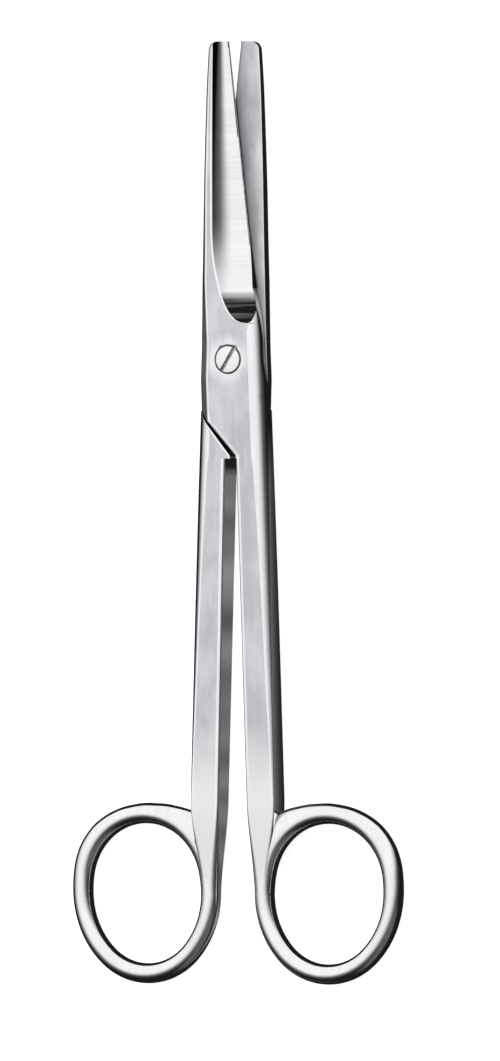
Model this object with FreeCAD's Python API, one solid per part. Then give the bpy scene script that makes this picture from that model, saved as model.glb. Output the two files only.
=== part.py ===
"""Straight dissecting scissors: two forged halves that cross in a lap joint, held by a slotted pivot screw.

Each half is drawn in the closed position, with x measured from the centre line, y from the pivot towards
the tips and z from the plane where the halves meet.  The rear half is the front half turned over about the
centre line.  Both are then opened about the pivot and set down with the joint's underside at z = 0.
"""

import FreeCAD, Part

import math
import os

from FreeCAD import Vector

# Whole instrument, closed
tip_reach = 57.5
ring_reach = 113.25
body_width = 13.0
joint_thickness = 5.2
open_angle = 3.2

# Pivot screw
pivot_offset = 0.4
screw_diameter = 3.4
head_diameter = 5.1
head_height = 1.25
head_rise = 0.06
head_chamfer = 0.22
seat_chamfer = 0.12
slot_width = 0.75
slot_depth = 0.65
slot_angle = 57.5
screw_end_chamfer = 0.25

# Running clearances
bore_clearance = 0.04
head_clearance = 0.06
lap_clearance = 0.04
stop_clearance = 0.1
ledge_clearance = 0.1

# Blade
tip_thickness = 1.5
tip_width = 3.55
tip_overlap = 0.3
tip_radius = 1.7
heel_reach = 12.7
heel_width = 4.3
taper_start = 5.0
edge_thickness = 0.15

# Spine side of a half: place along it and distance from the centre line
spine_side = [(50.0, 3.72), (43.5, 4.1), (32.6, 4.65), (21.7, 5.12), (10.9, 5.65), (1.0, 6.2)]

# Hollow-ground facet and its run-out towards the joint
hollow_radius_tip = 3.3
hollow_radius_gain = 0.235
runout_start = 23.5
runout_radius = 62.0
runout_end = 3.0
hollow_stations = (46.0, 34.0, 23.5, 19.0, 14.5, 10.0, 6.5)

# Bevel along the spine: place along it, width and depth
spine_bevel = [(60.5, 0.25, 0.3), (30.0, 0.3, 0.35), (14.0, 0.7, 0.6), (3.0, 2.1, 1.3), (-20.0, 2.3, 1.4)]

# Waist in the other side of the joint plate: place along it and distance from the centre line
waist = [(10.4, 5.05), (7.0, 5.6), (3.0, 5.85), (-0.6, 5.88), (-3.4, 6.15)]
waist_end = 7.0

# Round crown along the outer side of the plate and the shank, and how far it drifts out on its way down
crown_inset = 0.1
crown_drift = 0.74

# Closing shoulder
shoulder_angle = 49.0
shoulder_end = 17.4
slot_end = 17.9

# Shank
shank_gap = 1.2
shank_end_thickness = 4.46
shank_end_inset = 0.28
shank_corner = 0.45

# Neck from the shank's end to the ring's middle, and the flats left at its end
neck_length = 17.4
neck_flat = 0.2

# Finger ring
ring_hole_width = 22.4
ring_hole_length = 25.3
ring_wire = 3.65
ring_side_gap = 1.9
ring_lean = 4.5
ring_upper_side_radius = 22.0
ring_lower_side_radius = 15.5

# Values worked out from the sizes above
plate_thickness = joint_thickness / 2
half_width = body_width / 2
inner_side = shank_gap / 2
end_side = half_width - shank_end_inset
lap_face = lap_clearance / 2
ring_half_width = (ring_hole_width + ring_wire) / 2
ring_half_length = (ring_hole_length + ring_wire) / 2
ring_x = ring_side_gap / 2 + ring_wire / 2 + ring_half_width
ring_y = -ring_reach + ring_half_length + ring_wire / 2
shank_end = -ring_y - neck_length
edge_slope = (heel_width - tip_overlap) / (tip_reach - heel_reach)
crown_slope = crown_drift / (shank_end - waist_end)
margin = 3.0
outside = half_width + margin
tolerance = 1e-6


def edge_x(y):
    """Cutting edge of the closed front half at a place along the blade."""
    return tip_overlap + (tip_reach - y) * edge_slope


def top_height(y):
    """Height of the outer face above the lap plane, along the joint plate and the tapered blade."""
    taper = (plate_thickness - tip_thickness) / (tip_reach - taper_start)
    return plate_thickness - max(y - taper_start, 0) * taper


def line(start, end):
    return Part.LineSegment(start, end).toShape()


def lines(points):
    """Straight edges from point to point."""
    return [line(a, b) for a, b in zip(points, points[1:])]


def curve(points):
    """Smooth edge through the points."""
    spline = Part.BSplineCurve()
    spline.interpolate(Points=points)
    return spline.toShape()


def corner(start, apex, end):
    """Quarter of an ellipse from start to end, inside the corner at apex."""
    quarter = Part.BezierCurve()
    quarter.setPoles([start, apex, end])
    quarter.setWeight(2, math.sqrt(0.5))
    return quarter.toShape()


def prism(outline, bottom, top):
    """Solid from a flat outline in the xy plane, between two heights."""
    face = Part.Face(Part.Wire(outline))
    face.translate(Vector(0, 0, bottom))
    return face.extrude(Vector(0, 0, top - bottom))


def side_profile(points):
    """Solid from an outline seen from the side, as pairs of y and z, across the full width."""
    corners = [Vector(-outside, y, z) for y, z in points]
    face = Part.Face(Part.makePolygon(corners + corners[:1]))
    return face.extrude(Vector(2 * outside, 0, 0))


def crown_axis(y):
    """Axis of the round crown at a place along the half."""
    return half_width - plate_thickness + crown_inset - (y + waist_end) * crown_slope


def crowned_bar():
    """Bar that both layers are cut from: flat faces and a half-round crown along the outer side."""
    start = tip_reach + margin
    height = plate_thickness
    corners = [Vector(0, 0, -height), Vector(-2 * outside, 0, -height), Vector(-2 * outside, 0, height),
               Vector(0, 0, height)]
    crown = Part.Arc(corners[-1], Vector(height, 0, 0), corners[0]).toShape()
    face = Part.Face(Part.Wire(lines(corners) + [crown]))
    bar = face.extrude(Vector(0, -(start + shank_end + margin), 0))
    bar.rotate(Vector(0, 0, 0), Vector(0, 0, 1), math.degrees(math.atan(crown_slope)))
    bar.translate(Vector(crown_axis(start), start, 0))
    return bar


def upper_outline():
    """Outline of the upper layer: tip, spine, closing shoulder, waist and cutting edge."""
    spine_tip = tip_overlap - tip_width
    tip_start = Vector(spine_tip + tip_radius, tip_reach, 0)
    tip_end = Vector(spine_tip, tip_reach - tip_radius, 0)
    turn = tip_radius * math.sqrt(0.5)
    tip_middle = Vector(tip_start.x - turn, tip_end.y + turn, 0)
    spine_end = Vector(-half_width, -half_width / 2, 0)
    rise = (half_width + inner_side) * math.tan(math.radians(shoulder_angle))
    shoulder = [
        spine_end,
        Vector(-half_width, rise - shoulder_end, 0),
        Vector(inner_side, -shoulder_end, 0),
        Vector(inner_side, -slot_end, 0),
        Vector(half_width, -slot_end, 0),
        Vector(half_width, -waist_end, 0),
    ]
    heel = Vector(heel_width, heel_reach, 0)
    edges = [Part.Arc(tip_start, tip_middle, tip_end).toShape()]
    edges += [curve([tip_end] + [Vector(-x, y, 0) for y, x in spine_side] + [spine_end])]
    edges += lines(shoulder)
    edges += [curve([shoulder[-1]] + [Vector(x, y, 0) for y, x in reversed(waist)] + [heel])]
    edges += lines([heel, Vector(tip_overlap, tip_reach, 0), tip_start])
    return edges


def shoulder_outline():
    """Outline of the lower layer: the shank's shoulder that the other half's plate closes on."""
    slope = math.tan(math.radians(shoulder_angle))
    drop = stop_clearance / math.cos(math.radians(shoulder_angle))
    ledge = ledge_clearance - inner_side

    def shoulder_y(x):
        return (x + inner_side) * slope - shoulder_end - drop

    points = [(ledge, shoulder_y(ledge)), (ledge, -slot_end), (half_width, -slot_end),
              (half_width, shoulder_y(half_width)), (ledge, shoulder_y(ledge))]
    return lines([Vector(x, y, 0) for x, y in points])


def lap_bond():
    """Thickness of the lap clearance, filled only where a half's own two layers lie over each other."""
    under_upper = prism(upper_outline(), -lap_face, lap_face)
    return prism(shoulder_outline(), -lap_face, lap_face).common(under_upper)


def hollow_cutter():
    """Tapered round trough along the cutting edge that lifts out of the blade before the joint."""
    sections = []
    for y in (tip_reach + margin, *hollow_stations, runout_end):
        radius = hollow_radius_tip + (tip_reach - y) * hollow_radius_gain
        floor = lap_face + edge_thickness
        if y < runout_start:
            floor += runout_radius - math.sqrt(runout_radius ** 2 - (runout_start - y) ** 2)
        circle = Part.Circle(Vector(edge_x(y), y, floor + radius), Vector(0, 1, 0), radius)
        sections.append(Part.Wire([circle.toShape()]))
    return Part.makeLoft(sections, True, False)


def spine_x(y):
    """Side of the spine at a place along it, straight between the points of its outline."""
    points = [(tip_reach + margin, tip_width - tip_overlap)] + spine_side + [(-half_width / 2, half_width)]
    for (y_top, x_top), (y_low, x_low) in zip(points, points[1:]):
        if y >= y_low:
            return -(x_low + (x_top - x_low) * (y - y_low) / (y_top - y_low))
    return -half_width


def spine_cutter():
    """Wedge that bevels the outer edge of the spine, narrow on the blade and wide on the joint plate."""
    sections = []
    for y, width, depth in spine_bevel:
        side = spine_x(y)
        top = top_height(y)
        foot = top - depth * (1 + margin / width)
        points = [Vector(side - margin, y, foot), Vector(side + width, y, top),
                  Vector(side + width, y, top + margin), Vector(side - margin, y, top + margin)]
        sections.append(Part.makePolygon(points + points[:1]))
    return Part.makeLoft(sections, True, False)


def shank(bar):
    """Shank between the slot's end and the ring, tapered in thickness, with softened inner edges."""
    end_height = shank_end_thickness / 2
    outline = [(inner_side, -slot_end), (inner_side, -shank_end), (end_side, -shank_end),
               (half_width, -slot_end), (inner_side, -slot_end)]
    solid = bar.common(prism(lines([Vector(x, y, 0) for x, y in outline]), -plate_thickness, plate_thickness))
    solid = solid.common(side_profile([(-slot_end, plate_thickness), (-shank_end, end_height),
                                       (-shank_end, -end_height), (-slot_end, -plate_thickness)]))
    inner_edges = [edge for edge in solid.Edges if is_inner_edge(edge)]
    return solid.makeFillet(shank_corner, inner_edges)


def is_inner_edge(edge):
    """True for the two long edges beside the slot between the shanks."""
    ends = [vertex.Point for vertex in edge.Vertexes]
    beside_slot = all(abs(end.x - inner_side) < tolerance for end in ends)
    return beside_slot and abs(ends[0].y - ends[-1].y) > shank_corner


def neck_section(along):
    """Outline across the neck at a share of its length, rounder and narrower towards the ring."""
    ease = along * along * (3 - 2 * along)
    half_flat = neck_flat / 2
    wire_x = ring_x - ring_half_width
    radius = ring_wire / 2
    end_height = shank_end_thickness / 2
    ridge_end = crown_axis(-shank_end) + math.sqrt(plate_thickness ** 2 - end_height ** 2)
    side_end = math.sqrt(plate_thickness ** 2 - (end_side - crown_axis(-shank_end)) ** 2)

    def blend(start, end):
        return start + (end - start) * ease

    y = -shank_end - neck_length * along
    ridge = blend(ridge_end, wire_x + half_flat)
    outer = blend(end_side, wire_x + radius)
    inner = blend(inner_side, wire_x - radius)
    inner_ridge = blend(inner_side + shank_corner, wire_x - half_flat)
    top = blend(end_height, radius)
    outer_height = blend(side_end, half_flat)
    inner_height = blend(end_height - shank_corner, half_flat)

    def at(x, z):
        return Vector(x, y, z)

    return Part.Wire([
        line(at(inner, -inner_height), at(inner, inner_height)),
        corner(at(inner, inner_height), at(inner, top), at(inner_ridge, top)),
        line(at(inner_ridge, top), at(ridge, top)),
        corner(at(ridge, top), at(outer, top), at(outer, outer_height)),
        line(at(outer, outer_height), at(outer, -outer_height)),
        corner(at(outer, -outer_height), at(outer, -top), at(ridge, -top)),
        line(at(ridge, -top), at(inner_ridge, -top)),
        corner(at(inner_ridge, -top), at(inner, -top), at(inner, -inner_height)),
    ])


def ring_neck(shank_solid):
    """Neck from the shank's end face into the inner side of the finger ring."""
    end_face = min(shank_solid.Faces, key=lambda face: face.CenterOfMass.y)
    sections = [end_face.OuterWire, neck_section(0.5), neck_section(1.0)]
    return Part.makeLoft(sections, True, False)


def ring_bow(side_radius, direction):
    """Upper or lower half of the ring: an end arc between two side arcs, tangent to each other."""
    width = ring_half_width
    length = ring_half_length
    end_radius = (length ** 2 + (side_radius - width) ** 2 - side_radius ** 2) / (2 * (length - side_radius))
    rise = length - end_radius
    side_turn = math.degrees(math.atan2(rise, side_radius - width))

    def section(x):
        circle = Part.Circle(Vector(x, 0, 0), Vector(0, 1, 0), ring_wire / 2)
        return Part.Face(Part.Wire([circle.toShape()]))

    axis = Vector(0, 0, direction)
    right = section(width).revolve(Vector(width - side_radius, 0, 0), axis, side_turn)
    left = section(-width).revolve(Vector(side_radius - width, 0, 0), -axis, side_turn)
    end = section(end_radius)
    end.rotate(Vector(0, 0, 0), axis, side_turn)
    end.translate(Vector(0, direction * rise, 0))
    end = end.revolve(Vector(0, direction * rise, 0), axis, 180 - 2 * side_turn)
    return [right, end, left]


def finger_ring():
    """Oval ring of round wire that leans in at its lower end."""
    arcs = ring_bow(ring_upper_side_radius, 1) + ring_bow(ring_lower_side_radius, -1)
    ring = arcs[0].fuse(arcs[1:])
    ring.rotate(Vector(0, 0, 0), Vector(0, 0, 1), -ring_lean)
    ring.translate(Vector(ring_x, ring_y, 0))
    return ring


def half_blank():
    """One half, closed, without its pivot hole."""
    bar = crowned_bar()
    upper = bar.common(prism(upper_outline(), 0, plate_thickness))
    upper = upper.common(side_profile([(-slot_end, lap_face), (tip_reach, lap_face),
                                       (tip_reach, top_height(tip_reach)), (taper_start, plate_thickness),
                                       (-slot_end, plate_thickness)]))
    upper = upper.cut(hollow_cutter()).cut(spine_cutter())
    lower = bar.common(prism(shoulder_outline(), -plate_thickness, -lap_face))
    arm = shank(bar)
    return upper.fuse([lower, bar.common(lap_bond()), arm, ring_neck(arm), finger_ring()])


def pivot_cylinder(diameter, bottom, top):
    return Part.makeCylinder(diameter / 2, top - bottom, Vector(-pivot_offset, 0, bottom))


def front_half():
    """Half on top, with a plain bore and a chamfered counterbore for the screw's head."""
    seat = plate_thickness - head_height
    seat_radius = head_diameter / 2 + head_clearance
    mouth = Vector(-pivot_offset, 0, plate_thickness - seat_chamfer)
    bore = pivot_cylinder(screw_diameter + 2 * bore_clearance, -margin, plate_thickness + margin)
    counterbore = pivot_cylinder(2 * seat_radius, seat, plate_thickness + margin)
    chamfer = Part.makeCone(seat_radius, seat_radius + seat_chamfer, seat_chamfer, mouth)
    return half_blank().cut(bore.fuse([counterbore, chamfer]))


def rear_half():
    """Half below: the same blank turned over, with the hole that the screw is threaded into."""
    half = half_blank()
    half.rotate(Vector(0, 0, 0), Vector(0, 1, 0), 180)
    return half.cut(pivot_cylinder(screw_diameter, -plate_thickness - margin, margin))


def pivot_screw():
    """Cheese-headed screw with a slotted, chamfered head, turned about the pivot axis."""
    bottom = -plate_thickness
    seat = plate_thickness - head_height + lap_clearance
    top = plate_thickness + head_rise
    radius = screw_diameter / 2
    head = head_diameter / 2
    profile = [
        (0, bottom), (radius - screw_end_chamfer, bottom), (radius, bottom + screw_end_chamfer),
        (radius, seat), (head, seat), (head, top - head_chamfer), (head - head_chamfer, top), (0, top),
    ]
    points = [Vector(x, 0, z) for x, z in profile]
    face = Part.Face(Part.makePolygon(points + points[:1]))
    screw = face.revolve(Vector(0, 0, 0), Vector(0, 0, 1), 360)
    slot_corner = Vector(-head_diameter, -slot_width / 2, top - slot_depth)
    slot = Part.makeBox(2 * head_diameter, slot_width, margin, slot_corner)
    slot.rotate(Vector(0, 0, 0), Vector(0, 0, 1), slot_angle)
    screw = screw.cut(slot)
    screw.translate(Vector(-pivot_offset, 0, 0))
    return screw


def place(shape, turn):
    """Move the pivot to the origin, open the shape about it and stand the joint on z = 0."""
    shape.translate(Vector(pivot_offset, 0, plate_thickness))
    shape.rotate(Vector(0, 0, 0), Vector(0, 0, 1), turn)
    return shape.Solids[0] if len(shape.Solids) == 1 else shape


def main():
    os.makedirs("parts", exist_ok=True)
    nodes = {
        "front_half": place(front_half(), open_angle / 2),
        "rear_half": place(rear_half(), -open_angle / 2),
        "pivot_screw": place(pivot_screw(), 0),
    }
    for name, shape in nodes.items():
        print(name, len(shape.Solids), shape.isValid(), round(shape.Volume, 1))
        shape.exportStep("parts/" + name + ".step")


main()
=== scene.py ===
"""Straight dissecting scissors: the finish of the forged halves and the pivot screw, and the stage they lie on.

Each half is drawn in the closed position in millimetres, with x from the centre line, y from the pivot
towards the tips and z from the plane where the halves meet, as one run of sections along y.
"""

import math

import bmesh
import bpy
import numpy as np
from bpy.props import FloatProperty, FloatVectorProperty, IntProperty, PointerProperty
from mathutils import Matrix, Vector


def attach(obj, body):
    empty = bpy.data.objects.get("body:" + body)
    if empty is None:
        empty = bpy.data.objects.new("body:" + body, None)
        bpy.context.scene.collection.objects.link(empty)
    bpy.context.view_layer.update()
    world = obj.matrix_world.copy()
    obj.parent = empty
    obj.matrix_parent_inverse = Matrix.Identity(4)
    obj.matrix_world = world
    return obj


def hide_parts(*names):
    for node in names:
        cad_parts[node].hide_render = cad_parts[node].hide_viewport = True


bl_info = {
    "name": "Dissecting Scissors",
    "version": (1, 0, 0),
    "blender": (4, 5, 0),
    "location": "View3D > Sidebar > Scissors",
    "description": "Builds the ground and polished halves of a pair of dissecting scissors, the screw and the stage",
    "category": "Add Mesh",
}

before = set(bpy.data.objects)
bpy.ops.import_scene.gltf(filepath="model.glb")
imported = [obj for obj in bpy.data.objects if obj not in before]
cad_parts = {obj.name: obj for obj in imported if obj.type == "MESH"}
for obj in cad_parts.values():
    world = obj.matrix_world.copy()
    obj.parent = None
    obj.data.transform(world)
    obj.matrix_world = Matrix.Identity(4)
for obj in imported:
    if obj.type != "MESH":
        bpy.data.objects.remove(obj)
MM = 0.001

# Whole instrument, closed, in millimetres
TIP_REACH = 57.5
RING_REACH = 113.25
BODY_WIDTH = 13.0
THICKNESS = 5.2
OPEN_ANGLE = 3.2

# Pivot screw
PIVOT_OFFSET = 0.4
SCREW_DIAMETER = 3.4
HEAD_DIAMETER = 5.1
HEAD_HEIGHT = 1.25
HEAD_RISE = 0.06
HEAD_CHAMFER = 0.22
HEAD_CLEARANCE = 0.06
SEAT_CHAMFER = 0.12
SCREW_END_CHAMFER = 0.25
BORE_CLEARANCE = 0.04
SLOT_WIDTH = 0.75
SLOT_DEPTH = 0.65
SLOT_ANGLE = 57.5

# Clearances between the halves
LAP_CLEARANCE = 0.04
STOP_CLEARANCE = 0.1
LEDGE_CLEARANCE = 0.1

# Blade
TIP_THICKNESS = 1.5
TIP_WIDTH = 3.65
TIP_OVERLAP = 0.4
TIP_RADIUS = 1.7
HEEL_REACH = 12.7
HEEL_WIDTH = 4.3
TAPER_START = 5.0
EDGE_THICKNESS = 0.15
SPINE_SIDE = [(50.0, 3.72), (43.5, 4.1), (32.6, 4.65), (21.7, 5.12), (10.9, 5.65), (1.0, 6.2)]
SPINE_BEVEL = [(60.5, 0.45, 0.26), (30.0, 0.5, 0.3), (14.0, 0.8, 0.5), (3.0, 1.6, 0.95), (-20.0, 1.75, 1.05)]

# Hollow-ground facet and its run-out
HOLLOW_RADIUS_TIP = 3.3
HOLLOW_RADIUS_GAIN = 0.235
RUNOUT_START = 23.5
RUNOUT_RADIUS = 62.0
RUNOUT_DRIFT = 1.3
DRIFT_FROM = 16.0
DRIFT_TO = 6.5

# Joint plate, shoulder and shank
WAIST = [(10.4, 5.05), (7.0, 5.6), (3.0, 5.85), (-0.6, 5.88), (-3.4, 6.15)]
WAIST_END = 7.0
CROWN_INSET = 0.1
CROWN_DRIFT = 0.74
SHOULDER_ANGLE = 49.0
SHOULDER_END = 17.4
SLOT_END = 17.9
SHANK_GAP = 1.2
SHANK_END_THICKNESS = 4.46
SHANK_END_INSET = 0.28
SHANK_CORNER = 0.45
NECK_LENGTH = 17.4
NECK_FLAT = 0.2

# Finger ring
RING_HOLE_WIDTH = 22.4
RING_HOLE_LENGTH = 25.3
RING_WIRE = 3.65
RING_SIDE_GAP = 1.9
RING_LEAN = 4.5
RING_UPPER_SIDE_RADIUS = 22.0
RING_LOWER_SIDE_RADIUS = 15.5

# Swelling of the wire towards the shank: its height, and its share by angle round the ring in degrees
WEB_SWELL = 1.7
WEB_PROFILE = [
    (-15.0, 0.0), (15.0, 0.1), (35.0, 0.24), (52.0, 0.24), (68.0, 0.1), (84.0, 0.0),
    (100.0, 0.1), (114.0, 0.45), (127.0, 0.95), (140.0, 1.0), (152.0, 0.4), (165.0, 0.0),
]

# Values worked out from the sizes above
PLATE = THICKNESS / 2
HALF_WIDTH = BODY_WIDTH / 2
INNER_SIDE = SHANK_GAP / 2
LAP = LAP_CLEARANCE / 2
RING_HALF_WIDTH = (RING_HOLE_WIDTH + RING_WIRE) / 2
RING_HALF_LENGTH = (RING_HOLE_LENGTH + RING_WIRE) / 2
RING_X = RING_SIDE_GAP / 2 + RING_WIRE / 2 + RING_HALF_WIDTH
RING_Y = -RING_REACH + RING_HALF_LENGTH + RING_WIRE / 2
SHANK_END = -RING_Y - NECK_LENGTH
EDGE_SLOPE = (HEEL_WIDTH - TIP_OVERLAP) / (TIP_REACH - HEEL_REACH)
CROWN_SLOPE = CROWN_DRIFT / (SHANK_END - WAIST_END)
SHOULDER_SLOPE = math.tan(math.radians(SHOULDER_ANGLE))
SHOULDER_DROP = STOP_CLEARANCE / math.cos(math.radians(SHOULDER_ANGLE))
SHOULDER_TOP = (HALF_WIDTH + INNER_SIDE) * SHOULDER_SLOPE - SHOULDER_END

# Material slots of a half's mesh; the last is painted shade, near-black steel put where shade falls on edge lands,
# gaps, bores and recesses
SATIN, BRIGHT, GROUND, INNER, PAINTED_SHADE = range(5)

# Angles in degrees from which shading keeps an edge and in radians at which an edge counts as fully worn, and how
# strongly large faces bend the shading
SHARP_FROM = 50
WEAR_TURN = 0.7
NORMAL_WEIGHT = 80

# Steels in the order of their slots: brightness of the clouds, unevenness of the roughness, stretch and fineness
# of the lines, strength of the bump, stretch and scale of the clouds
STEELS = {
    "Satin Steel": (0.8, 0.05, (1.0, 0.04, 1.0), 9000.0, 0.12, (1.0, 0.45, 1.0), 190.0),
    "Polished Steel": (0.95, 0.03, (1.0, 0.1, 1.0), 6000.0, 0.05, (1.0, 0.5, 1.0), 160.0),
    "Ground Steel": (0.93, 0.04, (0.05, 1.0, 0.05), 9000.0, 0.1, (0.4, 1.0, 0.4), 180.0),
    "Inner Steel": (0.68, 0.05, (1.0, 0.05, 1.0), 7000.0, 0.1, (1.0, 0.45, 1.0), 170.0),
    "Painted Shade Steel": (0.7, 0.05, (1.0, 0.2, 1.0), 6000.0, 0.1, (1.0, 1.0, 1.0), 300.0),
}
SHADED_ROUGHNESS = 0.4
WEAR_AMOUNT = 1.4
BROAD_LINES = 0.22
BROAD_TONES = (0.2, 0.8, 0.94, 1.04)
LINE_RANGE = (0.25, 0.75)
BUMP_DEPTH = 0.00002
HALO_LEVEL = 1.3
WORN_COLOUR = (0.93, 0.93, 0.94, 1)
# Colour of the painted shade in the run-out of the hollow grind
RUNOUT_SHADE_COLOUR = (0.012, 0.012, 0.014, 1)
WHITE = (1, 1, 1, 1)

# Where the painted light and shade and the finish of the steel change, in metres: along the scissors, but for the
# reach round the pivot and the width of the inner face's gradient at its two places
RUNOUT_FADE = (0.0126, 0.0101)
NECK_FADE = (-0.064, -SHANK_END * MM)
DEEP_FADE = (0.012, 0.026)
HALO_REACH = (0.0028, 0.0052)
INNER_PLACES = (0.016, 0.046)
INNER_WIDTHS = (0.0017, 0.0038)

# Painted shade in dark bands over the run-out: stretch of their noise, its scale and detail, its gain and shift, and
# the depth in the run-out from which they are in full
BAND_STRETCH = (0.08, 1.0, 0.08)
BAND_NOISE = (900.0, 1.5)
BAND_SWAY = (0.9, -0.45)
BAND_FULL = 0.3

# Levels of painted shade on the grind by the sideways lean of its surface, and of the inner face's painted shadow and
# highlight by the share of its gradient's width and by the metres from the other blade's edge: from, to, first level
# and last level
DEEP_SHADE = (0.27, 0.5, 1.0, 0.14)
DEEPEST_SHADE = (0.51, 0.6, 1.0, 0.06)
DEEP_LEAST = 0.35
INNER_SHADE = (0.0, 1.6, 0.22, 1.3)
INNER_LINE = (0.0, 0.0004, 0.25, 1.0)
INNER_COVERED = (-0.0003, -0.001, 0.0, 0.9)

# Painted light on the floor under the shanks' gap, in uneven bands that only the steel shows: across from the middle,
# then along, in metres, and the levels of its bands
GAP_FADE = (0.003, 0.0038)
GAP_START = (-0.0195, -0.0215)
GAP_BANDS = (0.3, 0.7, 0.05, 0.26)

# Painted strip of light on the floor beside the front shank, that only its side shows: its place at the pivot in
# millimetres, its slope and its brightness, then its two sides and its two ends in metres
WALL_X = 6.95
WALL_SLOPE = 0.0236
WALL_LIGHT = 0.2
WALL_NEAR = (0.0004, 0.003)
WALL_FAR = (0.0032, 0.0042)
WALL_START = (-0.012, -0.022)
WALL_END = (-0.084, -0.082)

# Floor, lamp and camera in metres; sensor and view in millimetres, the view's roll in degrees; the fades of the
# haze and the fill by the cosine of the angle from their middles
FLOOR_HALF = 2.0
FLOOR_DROP = 0.0005
LAMP_DISTANCE = 1.2
CAMERA_DISTANCE = 3.6
SENSOR_HEIGHT = 36.0
VIEW_HEIGHT = 191.5
VIEW_AIM = (3.09, -30.9, 2.6)
VIEW_ROLL = -0.18
FILL_DIRECTION = (0.62, -0.72, 0.31)
FILL_FADE = (0.74, 0.97)
HAZE_FADE = (-0.17, 0.45)


def spline(points, place):
    """Value at a place of the natural cubic curve through the points, given as pairs of place and value."""
    points = sorted(points)
    xs, ys = np.array(points).T
    steps = np.diff(xs)
    count = len(xs)
    system = np.eye(count)
    right = np.zeros(count)
    for i in range(1, count - 1):
        system[i, i - 1:i + 2] = steps[i - 1], 2 * (steps[i - 1] + steps[i]), steps[i]
        right[i] = 6 * ((ys[i + 1] - ys[i]) / steps[i] - (ys[i] - ys[i - 1]) / steps[i - 1])
    bend = np.linalg.solve(system, right)
    i = int(np.clip(np.searchsorted(xs, place) - 1, 0, count - 2))
    a = (xs[i + 1] - place) / steps[i]
    b = 1 - a
    cubic = ((a ** 3 - a) * bend[i] + (b ** 3 - b) * bend[i + 1]) * steps[i] ** 2 / 6
    return a * ys[i] + b * ys[i + 1] + cubic


def edge_x(y):
    """Cutting edge of the closed front half at a place along the blade."""
    return TIP_OVERLAP + (TIP_REACH - y) * EDGE_SLOPE


def top_height(y):
    """Height of the outer face above the lap plane, along the blade, the plate and the shank."""
    if y < -SLOT_END:
        share = (-SLOT_END - y) / (SHANK_END - SLOT_END)
        return PLATE + (SHANK_END_THICKNESS / 2 - PLATE) * min(share, 1)
    return PLATE - max(y - TAPER_START, 0) * (PLATE - TIP_THICKNESS) / (TIP_REACH - TAPER_START)


def crown_axis(y):
    """Axis of the round crown along the outer side."""
    return HALF_WIDTH - PLATE + CROWN_INSET - (y + WAIST_END) * CROWN_SLOPE


def spine_x(y):
    """Spine side of the blade and the plate, before the shoulder is cut."""
    tip_side = TIP_WIDTH - TIP_OVERLAP
    corner = TIP_REACH - TIP_RADIUS
    if y > corner:
        return -(tip_side - TIP_RADIUS + math.sqrt(max(TIP_RADIUS ** 2 - (y - corner) ** 2, 0)))
    if y < -HALF_WIDTH / 2:
        return -HALF_WIDTH
    return -spline([(corner, tip_side)] + SPINE_SIDE + [(-HALF_WIDTH / 2, HALF_WIDTH)], y)


def left_x(y):
    """Left side of the upper layer: spine, diagonal shoulder, inner side of the shank."""
    if y > SHOULDER_TOP:
        return spine_x(y)
    return min(-HALF_WIDTH + (SHOULDER_TOP - y) / SHOULDER_SLOPE, INNER_SIDE)


def right_x(y):
    """Right side: cutting edge, waist of the plate, outer side of the shank."""
    if y > HEEL_REACH:
        return edge_x(y)
    if y < -SLOT_END:
        return HALF_WIDTH - SHANK_END_INSET * (-SLOT_END - y) / (SHANK_END - SLOT_END)
    if y < -WAIST_END:
        return HALF_WIDTH
    return spline([(HEEL_REACH, HEEL_WIDTH)] + WAIST + [(-WAIST_END, HALF_WIDTH)], y)


def lower_x(y):
    """Left side of the lower layer: the shoulder that the other half closes on, its ledge, the shank."""
    if y < -SLOT_END:
        return INNER_SIDE
    crossing = (y + SHOULDER_END + SHOULDER_DROP) / SHOULDER_SLOPE - INNER_SIDE
    return min(max(crossing, LEDGE_CLEARANCE - INNER_SIDE), right_x(y))


def hollow(y):
    """Centre, axis height and radius of the hollow grind at a place, or None where it has run out."""
    if y < 0:
        return None
    radius = HOLLOW_RADIUS_TIP + (TIP_REACH - y) * HOLLOW_RADIUS_GAIN
    floor = LAP + EDGE_THICKNESS
    if y < RUNOUT_START:
        floor += RUNOUT_RADIUS - math.sqrt(RUNOUT_RADIUS ** 2 - (RUNOUT_START - y) ** 2)
    if floor > top_height(y):
        return None
    share = min(max((DRIFT_FROM - y) / (DRIFT_FROM - DRIFT_TO), 0), 1)
    return edge_x(y) - RUNOUT_DRIFT * share * share, floor + radius, radius


def spine_bevel(y):
    """Width and depth of the bevel along the spine."""
    places, widths, depths = np.array(sorted(SPINE_BEVEL)).T
    return float(np.interp(y, places, widths)), float(np.interp(y, places, depths))


def crown_height(x, y):
    """Half the thickness that the round crown leaves at x."""
    inside = PLATE ** 2 - max(x - crown_axis(y), 0) ** 2
    return math.sqrt(max(inside, 0))


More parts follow.
